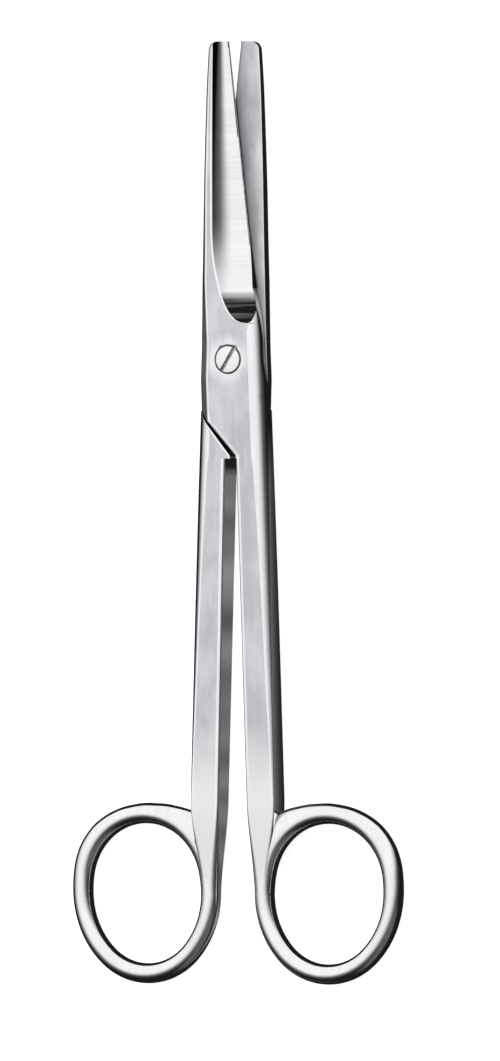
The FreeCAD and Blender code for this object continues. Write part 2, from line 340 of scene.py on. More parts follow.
class Profile:
    """Upper surface of a half across one section: the bevel, the flat, the crown and the hollow grind."""

    def __init__(self, y):
        self.y = y
        self.top = top_height(y)
        self.left = left_x(y)
        self.right = right_x(y)
        width, depth = spine_bevel(y)
        self.bevel_start = spine_x(y)
        self.bevel_width = width
        self.bevel_slope = depth / width
        self.grind = hollow(y)

    def bare(self, x):
        """Height before the hollow is ground."""
        bevel = self.top - (self.bevel_start + self.bevel_width - x) * self.bevel_slope
        return min(self.top, crown_height(x, self.y), bevel if self.y > -SLOT_END else self.top)

    def ground(self, x):
        """Height of the hollow grind."""
        centre, axis, radius = self.grind
        return axis - math.sqrt(max(radius ** 2 - (x - centre) ** 2, 0))

    def crown_start(self):
        """Where the round crown drops below the flat."""
        reach = math.sqrt(max(PLATE ** 2 - self.top ** 2, 0))
        return min(max(crown_axis(self.y) + reach, self.left), self.right)

    def hollow_side(self, direction):
        """Where the grind meets the bare surface, to the left or right of its middle."""
        centre, axis, radius = self.grind
        middle = min(centre, self.right)
        limit = self.left if direction < 0 else self.right
        if self.ground(middle) >= self.bare(middle):
            return middle
        if self.ground(limit) < self.bare(limit):
            return limit
        near, far = middle, limit
        for _ in range(HALVINGS):
            half = (near + far) / 2
            if self.ground(half) < self.bare(half):
                near = half
            else:
                far = half
        return near


# Sections along each part of a half, and points along the arcs of the ring and round the bores and the screw
TIP_SECTIONS = 12
BLADE_SECTIONS = 56
HEEL_SECTIONS = 44
PLATE_SECTIONS = 16
SHOULDER_SECTIONS = 40
SHANK_SECTIONS = 30
NECK_SECTIONS = 34
RING_SIDE_POINTS = 14
RING_END_POINTS = 76
BORE_SIDES = 96
SCREW_SIDES = 128

# Points along each stretch of a section and the halvings that find the grind's sides, then the small step, the
# distance at which points merge and the widths of the narrow strips and of other bands, in millimetres
WALL_POINTS = 5
LAP_POINTS = 8
CORNER_POINTS = 8
FLAT_POINTS = 7
CROWN_POINTS = 14
HOLLOW_POINTS = 30
CHAMFER_POINTS = 7
HALVINGS = 40
STEP = 0.02
MERGE = STEP / 40
RIM = 0.3
SHOULDER_RIM = 0.75
RIM_GROWTH = 2.5
WALL_RIM = 0.12
EDGE_LAND = 0.24
LAND_FADE = 18.0
GAP_WIDTH = 1.0

# Cosine of the least angle at which a corner is broken, and the largest shares of a stretch that a narrow strip
# and a broken corner take
BREAK_FROM = math.cos(math.radians(9))
STRIP_SHARE = 0.3
BREAK_SHARE = 0.45


def straight(start, end, count):
    """Points on a straight line."""
    return [tuple(p) for p in np.linspace(start, end, count)]


def edged(start, end, count, rim, first_rim=None):
    """Points on a straight line with a narrow strip at each end."""
    start, end = np.array(start, float), np.array(end, float)
    length = np.linalg.norm(end - start)
    last = min(rim / length, STRIP_SHARE) if length else 0
    first = min(first_rim / length, STRIP_SHARE) if first_rim and length else last
    shares = [0, *np.linspace(first, 1 - last, count - 2), 1]
    return [tuple(start + (end - start) * t) for t in shares]


def strips(points, slot, first=None, last=None):
    """Points of a stretch with the material slot of the strip after each."""
    slots = [slot] * len(points)
    if first is not None:
        slots[0] = first
    if last is not None:
        slots[-2:] = [last, last]
    return points, slots


def quarter(start, apex, end, count, first=0.0, last=1.0):
    """Points on a quarter of an ellipse from start to end, inside the corner at apex."""
    start, apex, end = np.array(start), np.array(apex), np.array(end)
    middle = start + end - apex
    turns = np.linspace(first, last, count) * math.pi / 2
    return [tuple(middle + (start - middle) * math.cos(t) + (end - middle) * math.sin(t)) for t in turns]


def crown(y, start, end, side, count):
    """Points on the round crown between two places across, on the upper or the lower side."""
    axis = crown_axis(y)
    turns = [math.asin(min(max((x - axis) / PLATE, 0), 1)) for x in (start, end)]
    return [(axis + PLATE * math.sin(t), side * PLATE * math.cos(t)) for t in np.linspace(*turns, count)]


def body_stretches(y, soft):
    """Stretches of the section at y, from the lap plane on the left up, over to the right and back below."""
    p = Profile(y)
    left, right = p.left, p.right
    shank = y < -SLOT_END
    has_lower = y <= SHOULDER_TOP - SHOULDER_DROP - STEP
    low = lower_x(y) if has_lower else right
    lap = -LAP if has_lower and low < left else LAP

    crown_from = p.crown_start()
    if p.grind:
        cut_from, cut_to = p.hollow_side(-1), p.hollow_side(1)
    else:
        cut_from = cut_to = min(max(edge_x(y), crown_from), right)
    flat_to = min(crown_from, cut_from)
    right_top = p.bare(right) if not p.grind or cut_to < right else p.ground(right)

    if shank:
        corner_points = quarter(
            (left, p.top - SHANK_CORNER), (left, p.top), (left + SHANK_CORNER, p.top), CORNER_POINTS)
    else:
        bevel_to = min(max(p.bevel_start + p.bevel_width, left + soft), flat_to)
        corner_points = straight((left, min(p.bare(left), p.top - soft)), (bevel_to, p.bare(bevel_to)), CORNER_POINTS)

    if cut_from > crown_from:
        crown_before = crown(y, crown_from, cut_from, 1, CROWN_POINTS)
    else:
        crown_before = [(cut_from, p.bare(cut_from))] * CROWN_POINTS
    if p.grind and cut_to > cut_from:
        ground = [(x, p.ground(x)) for x in np.linspace(cut_from, cut_to, HOLLOW_POINTS)]
    else:
        ground = straight((cut_from, p.bare(cut_from)), (cut_to, p.bare(cut_to)), HOLLOW_POINTS)
    if cut_to < right and right > crown_from:
        crown_after = crown(y, cut_to, right, 1, CROWN_POINTS)
    else:
        crown_after = [(right, right_top)] * CROWN_POINTS

    shoulder = -SLOT_END <= y <= SHOULDER_TOP
    first_rim = RIM + (SHOULDER_RIM - RIM) * min((SHOULDER_TOP - y) / RIM_GROWTH, 1) if shoulder else RIM
    blade = y > HEEL_REACH
    # The shoulder's walls, and the lap strip at its gap, take painted shade for the dark line of the gap
    side = PAINTED_SHADE if shoulder else BRIGHT
    ground_slots = [GROUND] * len(ground)
    # The land along the cutting edge takes painted shade, for the dark line along the edge
    if blade:
        width = (cut_to - cut_from) / (HOLLOW_POINTS - 1)
        fade = min((y - HEEL_REACH) / LAND_FADE, 1)
        land = min(round(EDGE_LAND * fade / max(width, STEP)), HOLLOW_POINTS // 3) + 1
        ground_slots[-land:] = [PAINTED_SHADE] * land
    stretches = [
        strips(edged((left, lap), corner_points[0], WALL_POINTS, WALL_RIM), side),
        strips(corner_points, BRIGHT),
        strips(edged(corner_points[-1], (flat_to, p.bare(flat_to)), FLAT_POINTS, RIM, first_rim), SATIN, BRIGHT,
               BRIGHT),
        strips(crown_before, BRIGHT),
        (ground, ground_slots),
        strips(crown_after, BRIGHT),
    ]
    if not has_lower:
        end = (right, LAP)
        # On the blade, the wall under the cutting edge and the lap face's strip along the spine take painted shade
        stretches += [
            strips(edged((right, right_top), end, WALL_POINTS, WALL_RIM), PAINTED_SHADE if blade else BRIGHT),
            strips([end] * (2 * CROWN_POINTS), BRIGHT),
            strips([end] * FLAT_POINTS, SATIN),
            strips([end] * (CORNER_POINTS + WALL_POINTS), BRIGHT),
            strips(edged(end, (left, LAP), LAP_POINTS, EDGE_LAND), INNER, PAINTED_SHADE if blade else INNER),
        ]
        return stretches

    low = min(low, right - STEP)
    low_crown = max(crown_from, low)
    low_depth = min(p.top, crown_height(low, y))
    rounding = SHANK_CORNER if shank else min(2 * soft, (right - low) / 2)
    if low + rounding < low_crown:
        under = quarter((low + rounding, -p.top), (low, -p.top), (low, rounding - p.top), CORNER_POINTS)
    else:
        under = [(low, -low_depth)] * CORNER_POINTS
    bottom_edge = (low_crown, -min(p.top, crown_height(low_crown, y)))
    stretches += [
        strips(edged((right, right_top), (right, -crown_height(right, y)), WALL_POINTS, WALL_RIM), BRIGHT),
        strips(crown(y, right, low_crown, -1, 2 * CROWN_POINTS), BRIGHT),
        strips(edged(bottom_edge, under[0], FLAT_POINTS, RIM), SATIN, BRIGHT, BRIGHT),
        strips(under, BRIGHT),
        strips(edged(under[-1], (low, lap), WALL_POINTS, WALL_RIM), side),
        strips(edged((low, lap), (left, lap), LAP_POINTS, GAP_WIDTH), INNER, side),
    ]
    return stretches


def ring_stretches():
    """Section of the ring's wire, divided like a section of the shank."""
    middle = RING_X - RING_HALF_WIDTH
    radius = RING_WIRE / 2 - 2 * STEP
    flat = NECK_FLAT / 2
    inner, outer = middle - radius, middle + radius
    split = 0.5

    def corner(side):
        return [(outer, side * flat), (outer, side * radius), (middle + flat, side * radius)]

    top = quarter(*reversed(corner(1)), CROWN_POINTS, 0, split)
    side_part = quarter(*reversed(corner(1)), CROWN_POINTS, split, 1)
    below = quarter(*corner(-1), 2 * CROWN_POINTS)
    return [
        straight((inner, LAP), (inner, flat), WALL_POINTS),
        quarter((inner, flat), (inner, radius), (middle - flat, radius), CORNER_POINTS),
        straight((middle - flat, radius), (middle + flat, radius), FLAT_POINTS),
        top,
        [top[-1]] * HOLLOW_POINTS,
        side_part,
        straight((outer, flat), (outer, -flat), WALL_POINTS),
        below,
        straight((middle + flat, -radius), (middle - flat, -radius), FLAT_POINTS),
        quarter((middle - flat, -radius), (inner, -radius), (inner, -flat), CORNER_POINTS),
        straight((inner, -flat), (inner, LAP), WALL_POINTS),
        [(inner, LAP)] * LAP_POINTS,
    ]


def break_corners(stretches, soft):
    """Points of a closed section, with the corner between each two stretches cut back to break the edge."""
    arrays = [np.array(points, float) for points in stretches]
    solid = [a for a in arrays if np.ptp(a, axis=0).max() > STEP / 4]
    cuts = []
    for before, after in zip(solid, solid[1:] + solid[:1]):
        into, out = before[-1] - before[-2], after[1] - after[0]
        lengths = np.linalg.norm(into), np.linalg.norm(out)
        if min(lengths) < MERGE:
            continue
        into, out = into / lengths[0], out / lengths[1]
        if into @ out < BREAK_FROM:
            back = min(soft, BREAK_SHARE * lengths[0], BREAK_SHARE * lengths[1])
            cuts.append((before, after, into * back, out * back))
    for before, after, into, out in cuts:
        before[-1] = before[-1] - into
        after[0] = after[0] + out
    follower = solid[0]
    for array in reversed(arrays):
        if any(array is kept for kept in solid):
            follower = array
        else:
            array[:] = follower[0]
    return np.concatenate(arrays)


def section_points(y, soft):
    """Points of the closed section at y, as x, y and z."""
    stretches = [points for points, _ in body_stretches(max(y, -SHANK_END), soft)]
    flat = break_corners(stretches, soft)
    if y < -SHANK_END:
        share = (-SHANK_END - y) / NECK_LENGTH
        ease = share * share * (3 - 2 * share)
        flat += (np.array([p for points in ring_stretches() for p in points]) - flat) * ease
    return np.column_stack([flat[:, 0], np.full(len(flat), y), flat[:, 1]])


def section_slots(y, soft):
    """Material slot of each strip between neighbouring points of the section at y."""
    return [slot for _, slots in body_stretches(max(y, -SHANK_END), soft) for slot in slots]


def stations():
    """Places along the half where a section is drawn, closer together where its shape changes."""
    corner = TIP_REACH - TIP_RADIUS
    places = [corner + TIP_RADIUS * math.sin(t) for t in np.linspace(math.pi / 2, 0, TIP_SECTIONS)]
    places += [SHOULDER_TOP + STEP, SHOULDER_TOP, SHOULDER_TOP - SHOULDER_DROP + STEP]
    places += [-SLOT_END + STEP, -SLOT_END - STEP]
    for start, end, count in (
            (corner, HEEL_REACH + STEP, BLADE_SECTIONS), (HEEL_REACH, TAPER_START, HEEL_SECTIONS),
            (TAPER_START, -WAIST_END, PLATE_SECTIONS),
            (SHOULDER_TOP - SHOULDER_DROP - STEP, -SHOULDER_END, SHOULDER_SECTIONS),
            (-SLOT_END - 1, -SHANK_END, SHANK_SECTIONS), (-SHANK_END, RING_Y, NECK_SECTIONS)):
        places += list(np.linspace(start, end, count))
    return sorted(set(round(y, 5) for y in places), reverse=True)


def face_outwards(mesh):
    """Merge doubled points, drop faces without area and turn the rest outwards."""
    shell = bmesh.new()
    shell.from_mesh(mesh)
    bmesh.ops.remove_doubles(shell, verts=shell.verts, dist=MERGE)
    bmesh.ops.dissolve_degenerate(shell, edges=shell.edges, dist=MERGE)
    bmesh.ops.recalc_face_normals(shell, faces=shell.faces)
    shell.to_mesh(mesh)
    shell.free()


def new_object(name, data):
    """Object with the data, linked to the scene."""
    obj = bpy.data.objects.new(name, data)
    bpy.context.scene.collection.objects.link(obj)
    return obj


def mesh_object(name, points, faces, slots):
    """New object from points in millimetres, with doubled points merged and faces turned outwards."""
    mesh = bpy.data.meshes.new(name)
    mesh.from_pydata([tuple(p) for p in points], [], faces)
    mesh.polygons.foreach_set("material_index", slots)
    face_outwards(mesh)
    return new_object(name, mesh)


def evaluated_mesh(obj):
    """Mesh of an object with its modifiers applied."""
    return bpy.data.meshes.new_from_object(obj.evaluated_get(bpy.context.evaluated_depsgraph_get()))


def skin(loops):
    """Points and faces of a skin over equal closed loops, capped at its ends."""
    count = len(loops[0])
    points = [p for loop in loops for p in loop]
    faces = []
    for start in range(0, len(points) - count, count):
        for i in range(count):
            j = (i + 1) % count
            faces.append((start + i, start + j, start + count + j, start + count + i))
    faces.append(tuple(reversed(range(count))))
    faces.append(tuple(range(len(points) - count, len(points))))
    return points, faces


def half_body(name, soft):
    """Blade, joint plate, shank and neck of a half, in one run of sections."""
    places = stations()
    points, faces = skin([section_points(y, soft) for y in places])
    slots = [slot for y in places[:-1] for slot in section_slots(y, soft)]
    return mesh_object(name, points, faces, slots + [BRIGHT, BRIGHT])


def ring_path():
    """Points of the ring's centre line."""
    path = []
    width, length = RING_HALF_WIDTH, RING_HALF_LENGTH
    for side_radius, direction in ((RING_UPPER_SIDE_RADIUS, 1), (RING_LOWER_SIDE_RADIUS, -1)):
        end_radius = (length ** 2 + (side_radius - width) ** 2 - side_radius ** 2) / (2 * (length - side_radius))
        rise = length - end_radius
        turn = math.atan2(rise, side_radius - width)
        arcs = [
            ((width - side_radius, 0), side_radius, 0, turn, RING_SIDE_POINTS),
            ((0, rise), end_radius, turn, math.pi - turn, RING_END_POINTS),
            ((side_radius - width, 0), side_radius, math.pi - turn, math.pi, RING_SIDE_POINTS),
        ]
        for (x, y), radius, first, last, count in arcs:
            for t in np.linspace(first, last, count)[:-1]:
                path.append((direction * (x + radius * math.cos(t)), direction * (y + radius * math.sin(t)), 0))
    return path


def add_node(tree, kind, inputs=None, **settings):
    """New node with its settings; each of its inputs is given a value or linked to a socket."""
    node = tree.nodes.new(kind)
    for name, value in settings.items():
        setattr(node, name, value)
    for name, value in (inputs or {}).items():
        if isinstance(value, bpy.types.NodeSocket):
            tree.links.new(value, node.inputs[name])
        else:
            node.inputs[name].default_value = value
    return node


def maths(tree, operation, *inputs, clamp=False):
    """Result of an operation on numbers or sockets."""
    return add_node(tree, "ShaderNodeMath", dict(enumerate(inputs)), operation=operation, use_clamp=clamp).outputs[0]


def vector_maths(tree, operation, *inputs, result="Vector"):
    """Result of an operation on vectors or sockets."""
    return add_node(tree, "ShaderNodeVectorMath", dict(enumerate(inputs)), operation=operation).outputs[result]


def scaled(tree, vector, factor, label=""):
    """Vector or colour times a number."""
    node = add_node(tree, "ShaderNodeVectorMath", {0: vector, "Scale": factor}, operation="SCALE", label=label)
    return node.outputs[0]


def spread(tree, source, low, high, first=0.0, last=1.0, smooth=False):
    """Number that runs from first to last while the source runs from low to high."""
    return add_node(tree, "ShaderNodeMapRange", {
        "Value": source, "From Min": low, "From Max": high, "To Min": first, "To Max": last,
    }, interpolation_type="SMOOTHSTEP" if smooth else "LINEAR").outputs["Result"]


def mixed(tree, share, first, second, kind="RGBA"):
    """Mix of two colours (RGBA) or of two numbers (FLOAT), each a value or a socket."""
    first_input, result = {"RGBA": (6, 2), "FLOAT": (2, 0)}[kind]
    inputs = {0: share, first_input: first, first_input + 1: second}
    return add_node(tree, "ShaderNodeMix", inputs, data_type=kind).outputs[result]


def noise(tree, vector, scale, detail, roughness=0.5):
    """Noise over a vector."""
    return add_node(tree, "ShaderNodeTexNoise", {
        "Vector": vector, "Scale": scale, "Detail": detail, "Roughness": roughness}).outputs["Fac"]


def coordinates(tree, kind="Object"):
    """Place on the object, or another kind of coordinates."""
    return tree.nodes.new("ShaderNodeTexCoord").outputs[kind]


def along(tree, axis, kind="Object"):
    """One of the three coordinates."""
    return add_node(tree, "ShaderNodeSeparateXYZ", {0: coordinates(tree, kind)}).outputs[axis]


def node_group(name, inputs, outputs, kind="ShaderNodeTree"):
    """Empty group with named sockets, the sockets that it is given and those that it hands out."""
    tree = bpy.data.node_groups.new(name, kind)
    for label, socket_type, value in inputs:
        socket = tree.interface.new_socket(label, in_out="INPUT", socket_type=socket_type)
        if value is not None:
            socket.default_value = value
    for label, socket_type in outputs:
        tree.interface.new_socket(label, in_out="OUTPUT", socket_type=socket_type)
    return tree, tree.nodes.new("NodeGroupInput").outputs, tree.nodes.new("NodeGroupOutput").inputs


def wire_tree():
    """Geometry nodes that draw round wire along a closed curve."""
    tree, given, made = node_group("Round Wire", [
        ("Geometry", "NodeSocketGeometry", None),
        ("Wire Diameter", "NodeSocketFloat", RING_WIRE),
        ("Sides", "NodeSocketInt", 56),
        ("Material", "NodeSocketMaterial", None),
    ], [("Geometry", "NodeSocketGeometry")], "GeometryNodeTree")
    radius = maths(tree, "MULTIPLY", given["Wire Diameter"], 0.5)
    circle = add_node(tree, "GeometryNodeCurvePrimitiveCircle", {"Radius": radius, "Resolution": given["Sides"]})
    wire = add_node(tree, "GeometryNodeCurveToMesh", {
        "Curve": given["Geometry"], "Profile Curve": circle.outputs["Curve"]}).outputs["Mesh"]
    for kind in ("GeometryNodeSetShadeSmooth", "GeometryNodeRealizeInstances", "GeometryNodeSetMaterial"):
        node = add_node(tree, kind, {"Geometry": wire})
        wire = node.outputs["Geometry"]
    tree.links.new(given["Material"], node.inputs["Material"])
    tree.links.new(wire, made["Geometry"])
    return tree


def ring_radius(place):
    """Distance from the ring's middle to its centre line in a direction, near enough for its slow oval."""
    way = place.normalized()
    return 1 / math.sqrt((way.x / RING_HALF_WIDTH) ** 2 + (way.y / RING_HALF_LENGTH) ** 2)


def swell_towards_shank(mesh):
    """Thicken the outer side of the wire where the forged ring runs up to the shank."""
    for point in mesh.vertices:
        place = Vector((point.co.x, point.co.y))
        angle = math.degrees(math.atan2(place.y, place.x))
        swell = WEB_SWELL * float(np.interp(angle, *zip(*WEB_PROFILE)))
        outward = (place.length - ring_radius(place)) / (RING_WIRE / 2)
        if swell and outward > 0:
            point.co.xy = place * (1 + swell * outward / place.length)


def finger_ring(name, sides, material):
    """Oval ring of round wire, leaning in at its lower end."""
    curve = bpy.data.curves.new(name, "CURVE")
    curve.dimensions = "3D"
    path = ring_path()
    strand = curve.splines.new("POLY")
    strand.points.add(len(path) - 1)
    for point, place in zip(strand.points, path):
        point.co = (*place, 1)
    strand.use_cyclic_u = True
    wire = new_object(name, curve)
    modifier = wire.modifiers.new("Round Wire", "NODES")
    modifier.node_group = wire_tree()
    values = {"Sides": sides, "Wire Diameter": RING_WIRE, "Material": material}
    for socket in modifier.node_group.interface.items_tree:
        if socket.in_out == "INPUT" and socket.name in values:
            modifier[socket.identifier] = values[socket.name]
    mesh = evaluated_mesh(wire)
    bpy.data.objects.remove(wire)
    bpy.data.curves.remove(curve)
    swell_towards_shank(mesh)
    lean = Matrix.Rotation(math.radians(-RING_LEAN), 4, "Z")
    mesh.transform(Matrix.Translation((RING_X, RING_Y, 0)) @ lean)
    mesh.polygons.foreach_set("material_index", [BRIGHT] * len(mesh.polygons))
    face_outwards(mesh)
    return new_object(name, mesh)


def turned(name, profile, segments, slots):
    """Solid turned about the pivot axis from a profile of radius and height, with the slot of each strip."""
    turns = np.linspace(0, 2 * math.pi, segments, endpoint=False)
    loops = [[(r * math.cos(t) - PIVOT_OFFSET, r * math.sin(t), z) for t in turns] for r, z in profile]
    points, faces = skin(loops)
    return mesh_object(name, points, faces, [slot for slot in slots for _ in turns] + [slots[0], slots[-1]])


def combine(target, tool, operation):
    """Join the tool to the target, or cut it away, and leave a plain mesh."""
    modifier = target.modifiers.new("combine", "BOOLEAN")
    modifier.operation = operation
    modifier.solver = "EXACT"
    modifier.object = tool
    result = evaluated_mesh(target)
    target.modifiers.remove(modifier)
    target.data = result
    bpy.data.objects.remove(tool)
    if not result.polygons:
        raise RuntimeError(f"{target.name}: {operation} left nothing")


def box_object(name, low, high, turn, slot):
    """Plain box about the pivot axis, turned by an angle in degrees."""
    corners = [(x, y, z) for z in (low[2], high[2]) for x, y in
               ((low[0], low[1]), (high[0], low[1]), (high[0], high[1]), (low[0], high[1]))]
    points, faces = skin([corners[:4], corners[4:]])
    box = mesh_object(name, points, faces, [slot] * len(faces))
    spin = Matrix.Rotation(math.radians(turn), 4, "Z")
    box.data.transform(Matrix.Translation((-PIVOT_OFFSET, 0, 0)) @ spin)
    return box


def mark_wear(mesh):
    """Store how sharply the surface turns at each point, for the worn edges."""
    shell = bmesh.new()
    shell.from_mesh(mesh)
    turns = []
    for point in shell.verts:
        angles = [e.calc_face_angle_signed(0) for e in point.link_edges if len(e.link_faces) == 2]
        turns.append(min(max(max(angles, default=0) / WEAR_TURN, 0), 1))
    shell.free()
    layer = mesh.attributes.new("wear", "FLOAT", "POINT")
    layer.data.foreach_set("value", turns)


def settle(obj, turn, materials):
    """Open the piece about the pivot, bring it to metres in the frame, shade it and mark its worn edges."""
    mesh = obj.data
    mesh.transform(Matrix.Translation((PIVOT_OFFSET, 0, PLATE)))
    mesh.transform(Matrix.Rotation(math.radians(turn), 4, "Z"))
    face_outwards(mesh)
    mark_wear(mesh)
    mesh.transform(Matrix.Scale(MM, 4))
    slots = [face.material_index for face in mesh.polygons]
    mesh.materials.clear()
    for material in materials:
        mesh.materials.append(material)
    mesh.polygons.foreach_set("material_index", slots)
    mesh.polygons.foreach_set("use_smooth", [True] * len(mesh.polygons))
    mesh.set_sharp_from_angle(angle=math.radians(SHARP_FROM))
    modifier = obj.modifiers.new("weighted", "WEIGHTED_NORMAL")
    modifier.keep_sharp = True
    modifier.weight = NORMAL_WEIGHT
    result = evaluated_mesh(obj)
    obj.modifiers.remove(modifier)
    obj.data = result


def make_half(name, shape, polish):
    """Blank of a half: body and ring in one mesh, in the closed position."""
    half = half_body(name, shape.edge_break)
    combine(half, finger_ring(name + "_ring", shape.ring_sides, polish), "UNION")
    return half


def make_front(shape, steels):
    """Front half with its bore and the counterbore for the screw's head."""
    half = make_half("front_half_steel", shape, steels[BRIGHT])
    bore = SCREW_DIAMETER / 2 + BORE_CLEARANCE
    seat = HEAD_DIAMETER / 2 + HEAD_CLEARANCE
    profile = [
        (bore, -THICKNESS), (bore, PLATE - HEAD_HEIGHT), (seat, PLATE - HEAD_HEIGHT), (seat, PLATE - SEAT_CHAMFER),
        (seat + SEAT_CHAMFER + STEP, PLATE + STEP), (seat + SEAT_CHAMFER + STEP, THICKNESS),
    ]
    # The bore and the counterbore take painted shade, for the dark ring round the screw's head
    combine(half, turned("bore", profile, BORE_SIDES, [PAINTED_SHADE] * 5), "DIFFERENCE")
    settle(half, OPEN_ANGLE / 2, steels)
    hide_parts("front_half")
    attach(half, "front")


def make_rear(shape, steels):
    """Rear half with the hole that holds the screw."""
    half = make_half("rear_half_steel", shape, steels[BRIGHT])
    # The same blank, turned over about the centre line
    half.data.transform(Matrix.Rotation(math.pi, 4, "Y"))
    hole = SCREW_DIAMETER / 2
    combine(half, turned("hole", [(hole, -THICKNESS), (hole, THICKNESS)], BORE_SIDES, [BRIGHT]), "DIFFERENCE")
    settle(half, -OPEN_ANGLE / 2, steels)
    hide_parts("rear_half")
    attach(half, "rear")


def make_screw(shape, steels):
    """Cheese-headed screw with a slot cut across its head."""
    radius, head = SCREW_DIAMETER / 2, HEAD_DIAMETER / 2
    seat = PLATE - HEAD_HEIGHT + LAP_CLEARANCE
    top = PLATE + HEAD_RISE
    soft = shape.edge_break / 2
    corner = top - HEAD_CHAMFER
    profile = [
        (STEP, -PLATE), (radius - SCREW_END_CHAMFER, -PLATE), (radius, SCREW_END_CHAMFER - PLATE), (radius, seat),
        (head - soft, seat), (head, seat + soft), (head, corner),
    ]
    profile += quarter((head, corner), (head, top), (head - HEAD_CHAMFER, top), CHAMFER_POINTS)[1:]
    profile.append((STEP, top))
    # Bright steel up to the head's side, painted shade on its chamfer, bright steel on its top
    slots = [BRIGHT] * 6 + [PAINTED_SHADE] * (CHAMFER_POINTS - 1) + [BRIGHT]
    screw = turned("screw_steel", profile, SCREW_SIDES, slots)
    reach = HEAD_DIAMETER
    low, high = (-reach, -SLOT_WIDTH / 2, top - SLOT_DEPTH), (reach, SLOT_WIDTH / 2, top + reach)
    # The slot across the head takes painted shade
    combine(screw, box_object("slot", low, high, SLOT_ANGLE, PAINTED_SHADE), "DIFFERENCE")
    settle(screw, 0, steels)
    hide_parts("pivot_screw")
    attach(screw, "rear")


def grain_group():
    """Fine lines left by grinding and polishing, drawn out along the blade or across it."""
    tree, given, made = node_group("Grinding Lines", [
        ("Vector", "NodeSocketVector", None),
        ("Stretch", "NodeSocketVector", (1.0, 1.0, 1.0)),
        ("Fineness", "NodeSocketFloat", 5000.0),
    ], [("Lines", "NodeSocketFloat"), ("Broad", "NodeSocketFloat")])
    place = vector_maths(tree, "MULTIPLY", given["Vector"], given["Stretch"])
    broad_scale = maths(tree, "MULTIPLY", given["Fineness"], BROAD_LINES)
    tree.links.new(noise(tree, place, given["Fineness"], 3.0, 0.6), made["Lines"])
    tree.links.new(noise(tree, place, broad_scale, 2.0), made["Broad"])
    return tree


def cloud_group():
    """Soft cloudy patches, such as handling and polishing leave on steel."""
    tree, given, made = node_group("Soft Clouds", [
        ("Vector", "NodeSocketVector", None),
        ("Stretch", "NodeSocketVector", (1.0, 1.0, 1.0)),
        ("Scale", "NodeSocketFloat", 150.0),
        ("From", "NodeSocketFloat", 0.35),
        ("To", "NodeSocketFloat", 0.65),
    ], [("Cloud", "NodeSocketFloat")])
    place = vector_maths(tree, "MULTIPLY", given["Vector"], given["Stretch"])
    patches = noise(tree, place, given["Scale"], 4.0, 0.55)
    tree.links.new(spread(tree, patches, given["From"], given["To"], smooth=True), made["Cloud"])
    return tree


def wear_group():
    """Worn edges: where the surface turns sharply, broken up by a little noise."""
    tree, given, made = node_group("Worn Edges", [
        ("Vector", "NodeSocketVector", None),
        ("Amount", "NodeSocketFloat", 1.0),
    ], [("Wear", "NodeSocketFloat")])
    stored = add_node(tree, "ShaderNodeAttribute", attribute_name="wear").outputs["Fac"]
    broken = maths(tree, "MULTIPLY", stored, noise(tree, given["Vector"], 900.0, 2.0))
    tree.links.new(maths(tree, "MULTIPLY", broken, given["Amount"], clamp=True), made["Wear"])
    return tree


def steel(name, groups, colour, roughness):
    """Steel with lines, clouds, worn edges, uneven roughness and a shallow bump."""
    cloud_level, unevenness, stretch, fineness, bump, cloud_stretch, cloud_scale = STEELS[name]
    material = bpy.data.materials.new(name)
    material.use_nodes = True
    material.diffuse_color = (*colour, 1)
    tree = material.node_tree
    place = coordinates(tree)
    grain, cloud, wear = (
        add_node(tree, "ShaderNodeGroup", {"Vector": place, **inputs}, node_tree=group).outputs
        for group, inputs in zip(groups, (
            {"Stretch": stretch, "Fineness": fineness}, {"Stretch": cloud_stretch, "Scale": cloud_scale},
            {"Amount": WEAR_AMOUNT})))
    base = mixed(tree, cloud["Cloud"], (*colour, 1), (*(c * cloud_level for c in colour), 1))
    toned = scaled(tree, base, spread(tree, grain["Broad"], *BROAD_TONES))
    worn = mixed(tree, wear["Wear"], toned, WORN_COLOUR)
    rough = spread(tree, grain["Lines"], *LINE_RANGE, roughness - unevenness, roughness + unevenness)
    relief = add_node(tree, "ShaderNodeBump", {"Strength": bump, "Distance": BUMP_DEPTH, "Height": grain["Lines"]})
    surface = tree.nodes["Principled BSDF"].inputs
    surface["Metallic"].default_value = 1
    for label, socket in (("Base Color", worn), ("Roughness", rough), ("Normal", relief.outputs["Normal"])):
        tree.links.new(socket, surface[label])
    return material


def rework(material, name, change):
    """Put nodes between an input of the surface and what feeds it."""
    tree = material.node_tree
    socket = tree.nodes["Principled BSDF"].inputs[name]
    tree.links.new(change(tree, socket.links[0].from_socket), socket)


def tint(material, factor, name):
    """Multiply the base colour of a steel by a factor from another socket."""
    rework(material, "Base Color", lambda tree, source: scaled(tree, source, factor, name))


def paint_runout_shade(material):
    """Paint shade into the hollow grind where it runs out of the blade, in dark bands that stand in for the dark
    surroundings it reflects there.
    """
    tree = material.node_tree
    depth = spread(tree, along(tree, "Y"), *RUNOUT_FADE)
    bands = noise(tree, vector_maths(tree, "MULTIPLY", coordinates(tree), BAND_STRETCH), *BAND_NOISE)
    total = maths(tree, "ADD", depth, maths(tree, "MULTIPLY_ADD", bands, *BAND_SWAY), clamp=True)
    dark = maths(tree, "MULTIPLY", total, spread(tree, depth, 0.0, BAND_FULL), clamp=True)
    rework(material, "Base Color", lambda tree, source: mixed(tree, dark, source, RUNOUT_SHADE_COLOUR))


def brighten_towards_ring(material, colour, roughness):
    """Let the satin flats pass into the brighter polish of the rings."""
    share = spread(material.node_tree, along(material.node_tree, "Y"), *NECK_FADE, smooth=True)
    rework(material, "Base Color", lambda tree, source: mixed(tree, share, source, (*colour, 1)))
    rework(material, "Roughness", lambda tree, source: mixed(tree, share, source, roughness, "FLOAT"))


